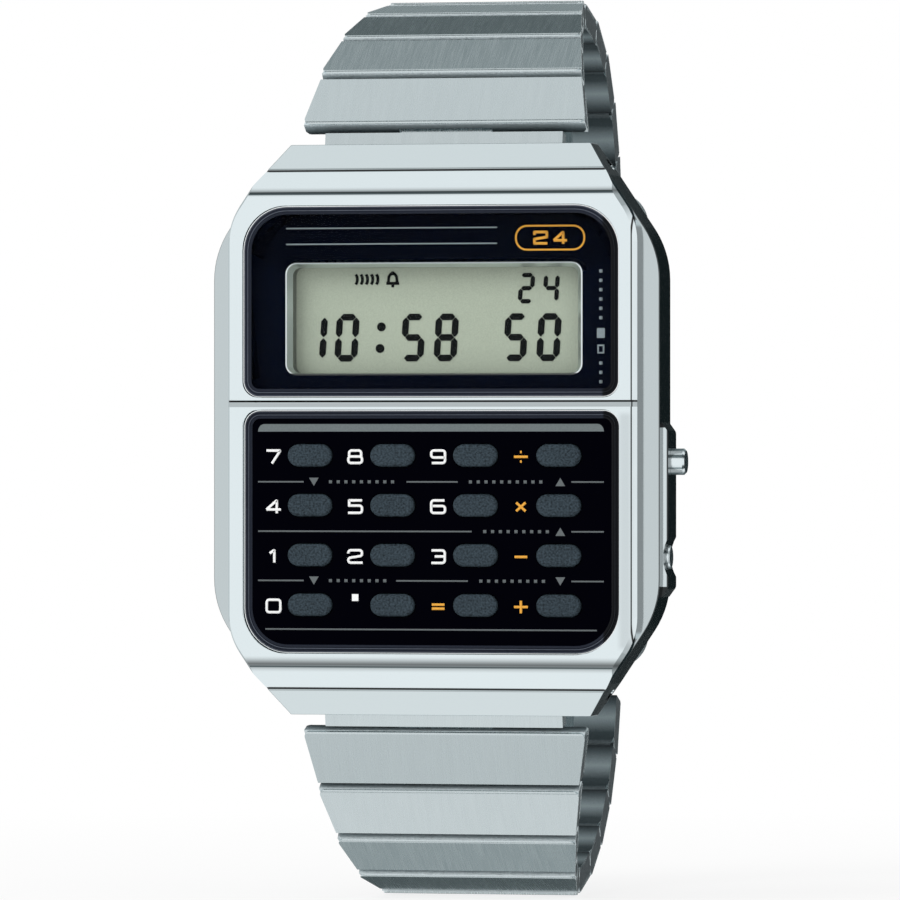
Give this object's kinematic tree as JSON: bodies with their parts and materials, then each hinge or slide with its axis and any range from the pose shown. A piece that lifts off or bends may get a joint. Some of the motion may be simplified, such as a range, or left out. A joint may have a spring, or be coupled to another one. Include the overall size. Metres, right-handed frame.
{
  "type": "calculator wristwatch",
  "caption": "Digital calculator wristwatch in polished steel with a keypad, side buttons and a tapered folded-link bracelet with a folding clasp.",
  "frame": {"origin": "centre of the case back's outer face, which rests on the wrist", "axes": "+Z towards 12 o'clock, +X towards 3 o'clock; the dial faces -Y and the bracelet's loop lies on the +Y side"},
  "size_m": [0.036, 0.0409, 0.0693],
  "materials": {
    "case_metal": "polished",
    "bezel_metal": "polished",
    "crystal": "polished",
    "mask_black": "gloss",
    "lcd_glass": "satin",
    "silicone": "matte",
    "panel_black": "gloss",
    "key_grey": "textured",
    "housing_plastic": "matte",
    "board_green": "satin",
    "cell_metal": "satin",
    "spring_metal": "satin",
    "buzzer_brass": "satin",
    "back_metal": "brushed",
    "button_metal": "polished",
    "link_metal": "brushed",
    "clasp_metal": "brushed"
  },
  "bodies": {
    "case": {"case_body": "case_metal", "front_bezel": "bezel_metal", "display_crystal": "crystal", "display_mask": "mask_black", "lcd_panel": "lcd_glass", "lcd_connectors": "silicone", "keypad_panel": "panel_black", "keypad_membrane": "silicone", "module_housing": "housing_plastic", "circuit_board": "board_green", "battery": "cell_metal", "battery_clip": "spring_metal", "buzzer_disc": "buzzer_brass", "case_back": "back_metal", "case_back_gasket": "silicone", "case_back_screws": "spring_metal", "spring_bars": "spring_metal"},
    "key_7": {"key_7": "key_grey"},
    "key_8": {"key_8": "key_grey"},
    "key_9": {"key_9": "key_grey"},
    "key_divide": {"key_divide": "key_grey"},
    "key_4": {"key_4": "key_grey"},
    "key_5": {"key_5": "key_grey"},
    "key_6": {"key_6": "key_grey"},
    "key_multiply": {"key_multiply": "key_grey"},
    "key_1": {"key_1": "key_grey"},
    "key_2": {"key_2": "key_grey"},
    "key_3": {"key_3": "key_grey"},
    "key_minus": {"key_minus": "key_grey"},
    "key_0": {"key_0": "key_grey"},
    "key_decimal": {"key_decimal": "key_grey"},
    "key_equals": {"key_equals": "key_grey"},
    "key_plus": {"key_plus": "key_grey"},
    "mode_button": {"mode_button": "button_metal"},
    "adjust_button": {"adjust_button": "button_metal"},
    "end_link_12": {"end_link_12": "link_metal"},
    "link_12_1": {"link_12_1": "link_metal"},
    "link_12_2": {"link_12_2": "link_metal"},
    "link_12_3": {"link_12_3": "link_metal"},
    "link_12_4": {"link_12_4": "link_metal"},
    "link_12_5": {"link_12_5": "link_metal"},
    "link_12_6": {"link_12_6": "link_metal"},
    "link_12_7": {"link_12_7": "link_metal"},
    "link_12_8": {"link_12_8": "link_metal"},
    "link_12_9": {"link_12_9": "link_metal"},
    "link_12_10": {"link_12_10": "link_metal"},
    "end_link_6": {"end_link_6": "link_metal"},
    "link_6_1": {"link_6_1": "link_metal"},
    "link_6_2": {"link_6_2": "link_metal"},
    "link_6_3": {"link_6_3": "link_metal"},
    "link_6_4": {"link_6_4": "link_metal"},
    "link_6_5": {"link_6_5": "link_metal"},
    "link_6_6": {"link_6_6": "link_metal"},
    "link_6_7": {"link_6_7": "link_metal"},
    "link_6_8": {"link_6_8": "link_metal"},
    "link_6_9": {"link_6_9": "link_metal"},
    "link_6_10": {"link_6_10": "link_metal"},
    "clasp_inner_leaf": {"clasp_inner_leaf": "clasp_metal"},
    "clasp_middle_leaf": {"clasp_middle_leaf": "clasp_metal"},
    "clasp_cover": {"clasp_cover": "clasp_metal"}
  },
  "joints": [
    {"name": "key_7_press", "type": "slide", "parent": "case", "child": "key_7", "axis": [0, 1, 0], "range_m": [0, 0.00035], "stiffness_N_per_m": 400},
    {"name": "key_8_press", "type": "slide", "parent": "case", "child": "key_8", "axis": [0, 1, 0], "range_m": [0, 0.00035], "stiffness_N_per_m": 400},
    {"name": "key_9_press", "type": "slide", "parent": "case", "child": "key_9", "axis": [0, 1, 0], "range_m": [0, 0.00035], "stiffness_N_per_m": 400},
    {"name": "key_divide_press", "type": "slide", "parent": "case", "child": "key_divide", "axis": [0, 1, 0], "range_m": [0, 0.00035], "stiffness_N_per_m": 400},
    {"name": "key_4_press", "type": "slide", "parent": "case", "child": "key_4", "axis": [0, 1, 0], "range_m": [0, 0.00035], "stiffness_N_per_m": 400},
    {"name": "key_5_press", "type": "slide", "parent": "case", "child": "key_5", "axis": [0, 1, 0], "range_m": [0, 0.00035], "stiffness_N_per_m": 400},
    {"name": "key_6_press", "type": "slide", "parent": "case", "child": "key_6", "axis": [0, 1, 0], "range_m": [0, 0.00035], "stiffness_N_per_m": 400},
    {"name": "key_multiply_press", "type": "slide", "parent": "case", "child": "key_multiply", "axis": [0, 1, 0], "range_m": [0, 0.00035], "stiffness_N_per_m": 400},
    {"name": "key_1_press", "type": "slide", "parent": "case", "child": "key_1", "axis": [0, 1, 0], "range_m": [0, 0.00035], "stiffness_N_per_m": 400},
    {"name": "key_2_press", "type": "slide", "parent": "case", "child": "key_2", "axis": [0, 1, 0], "range_m": [0, 0.00035], "stiffness_N_per_m": 400},
    {"name": "key_3_press", "type": "slide", "parent": "case", "child": "key_3", "axis": [0, 1, 0], "range_m": [0, 0.00035], "stiffness_N_per_m": 400},
    {"name": "key_minus_press", "type": "slide", "parent": "case", "child": "key_minus", "axis": [0, 1, 0], "range_m": [0, 0.00035], "stiffness_N_per_m": 400},
    {"name": "key_0_press", "type": "slide", "parent": "case", "child": "key_0", "axis": [0, 1, 0], "range_m": [0, 0.00035], "stiffness_N_per_m": 400},
    {"name": "key_decimal_press", "type": "slide", "parent": "case", "child": "key_decimal", "axis": [0, 1, 0], "range_m": [0, 0.00035], "stiffness_N_per_m": 400},
    {"name": "key_equals_press", "type": "slide", "parent": "case", "child": "key_equals", "axis": [0, 1, 0], "range_m": [0, 0.00035], "stiffness_N_per_m": 400},
    {"name": "key_plus_press", "type": "slide", "parent": "case", "child": "key_plus", "axis": [0, 1, 0], "range_m": [0, 0.00035], "stiffness_N_per_m": 400},
    {"name": "mode_button_press", "type": "slide", "parent": "case", "child": "mode_button", "axis": [-1, 0, 0], "range_m": [0, 0.0006], "stiffness_N_per_m": 500},
    {"name": "adjust_button_press", "type": "slide", "parent": "case", "child": "adjust_button", "axis": [-1, 0, 0], "range_m": [0, 0.00035], "stiffness_N_per_m": 500},
    {"name": "end_link_12_hinge", "type": "hinge", "parent": "case", "child": "end_link_12", "pos_m": [0, -0.0027, 0.02], "axis": [1, 0, 0], "range_deg": [0, 12]},
    {"name": "link_12_1_hinge", "type": "hinge", "parent": "end_link_12", "child": "link_12_1", "pos_m": [0, -0.002, 0.0234], "axis": [1, 0, 0], "range_deg": [0, 26.4]},
    {"name": "link_12_2_hinge", "type": "hinge", "parent": "link_12_1", "child": "link_12_2", "pos_m": [0, 0.00063, 0.02699], "axis": [1, 0, 0], "range_deg": [0, 20.4]},
    {"name": "link_12_3_hinge", "type": "hinge", "parent": "link_12_2", "child": "link_12_3", "pos_m": [0, 0.00425, 0.02958], "axis": [1, 0, 0], "range_deg": [0, 14.8]},
    {"name": "link_12_4_hinge", "type": "hinge", "parent": "link_12_3", "child": "link_12_4", "pos_m": [0, 0.00835, 0.03129], "axis": [1, 0, 0], "range_deg": [0, 14]},
    {"name": "link_12_5_hinge", "type": "hinge", "parent": "link_12_4", "child": "link_12_5", "pos_m": [0, 0.01273, 0.03212], "axis": [1, 0, 0], "range_deg": [0, 14.2]},
    {"name": "link_12_6_hinge", "type": "hinge", "parent": "link_12_5", "child": "link_12_6", "pos_m": [0, 0.01717, 0.032], "axis": [1, 0, 0], "range_deg": [0, 15.5]},
    {"name": "link_12_7_hinge", "type": "hinge", "parent": "link_12_6", "child": "link_12_7", "pos_m": [0, 0.02147, 0.03085], "axis": [1, 0, 0], "range_deg": [0, 20.4]},
    {"name": "link_12_8_hinge", "type": "hinge", "parent": "link_12_7", "child": "link_12_8", "pos_m": [0, 0.02519, 0.0284], "axis": [1, 0, 0], "range_deg": [0, 22.3]},
    {"name": "link_12_9_hinge", "type": "hinge", "parent": "link_12_8", "child": "link_12_9", "pos_m": [0, 0.02782, 0.02482], "axis": [1, 0, 0], "range_deg": [0, 16.5]},
    {"name": "link_12_10_hinge", "type": "hinge", "parent": "link_12_9", "child": "link_12_10", "pos_m": [0, 0.02948, 0.02069], "axis": [1, 0, 0], "range_deg": [0, 12.3]},
    {"name": "end_link_6_hinge", "type": "hinge", "parent": "case", "child": "end_link_6", "pos_m": [0, -0.0027, -0.02], "axis": [-1, 0, 0], "range_deg": [0, 12]},
    {"name": "link_6_1_hinge", "type": "hinge", "parent": "end_link_6", "child": "link_6_1", "pos_m": [0, -0.00201, -0.0234], "axis": [-1, 0, 0], "range_deg": [0, 12.4]},
    {"name": "link_6_2_hinge", "type": "hinge", "parent": "link_6_1", "child": "link_6_2", "pos_m": [0, -0.00036, -0.02753], "axis": [-1, 0, 0], "range_deg": [0, 18.2]},
    {"name": "link_6_3_hinge", "type": "hinge", "parent": "link_6_2", "child": "link_6_3", "pos_m": [0, 0.00238, -0.03104], "axis": [-1, 0, 0], "range_deg": [0, 20]},
    {"name": "link_6_4_hinge", "type": "hinge", "parent": "link_6_3", "child": "link_6_4", "pos_m": [0, 0.00607, -0.03353], "axis": [-1, 0, 0], "range_deg": [0, 19.9]},
    {"name": "link_6_5_hinge", "type": "hinge", "parent": "link_6_4", "child": "link_6_5", "pos_m": [0, 0.01034, -0.03476], "axis": [-1, 0, 0], "range_deg": [0, 18.8]},
    {"name": "link_6_6_hinge", "type": "hinge", "parent": "link_6_5", "child": "link_6_6", "pos_m": [0, 0.01479, -0.03471], "axis": [-1, 0, 0], "range_deg": [0, 16.9]},
    {"name": "link_6_7_hinge", "type": "hinge", "parent": "link_6_6", "child": "link_6_7", "pos_m": [0, 0.01908, -0.03351], "axis": [-1, 0, 0], "range_deg": [0, 15.9]},
    {"name": "link_6_8_hinge", "type": "hinge", "parent": "link_6_7", "child": "link_6_8", "pos_m": [0, 0.02295, -0.03132], "axis": [-1, 0, 0], "range_deg": [0, 15.2]},
    {"name": "link_6_9_hinge", "type": "hinge", "parent": "link_6_8", "child": "link_6_9", "pos_m": [0, 0.02622, -0.0283], "axis": [-1, 0, 0], "range_deg": [0, 17.1]},
    {"name": "link_6_10_hinge", "type": "hinge", "parent": "link_6_9", "child": "link_6_10", "pos_m": [0, 0.02859, -0.02454], "axis": [-1, 0, 0], "range_deg": [0, 16.7]},
    {"name": "clasp_strand_hinge", "type": "hinge", "parent": "link_6_10", "child": "clasp_inner_leaf", "pos_m": [0, 0.02993, -0.02029], "axis": [-1, 0, 0], "range_deg": [0, 18.8]},
    {"name": "clasp_leaf_hinge", "type": "hinge", "parent": "clasp_inner_leaf", "child": "clasp_middle_leaf", "pos_m": [0, 0.03108, 0.01372], "axis": [1, 0, 0], "range_deg": [0, 150]},
    {"name": "clasp_cover_hinge", "type": "hinge", "parent": "clasp_middle_leaf", "child": "clasp_cover", "pos_m": [0, 0.0307, -0.0187], "axis": [-1, 0, 0], "range_deg": [0, 150]}
  ],
  "couplings": [
    {"joint": "clasp_cover_hinge", "follows": "clasp_leaf_hinge", "ratio": 1}
  ]
}
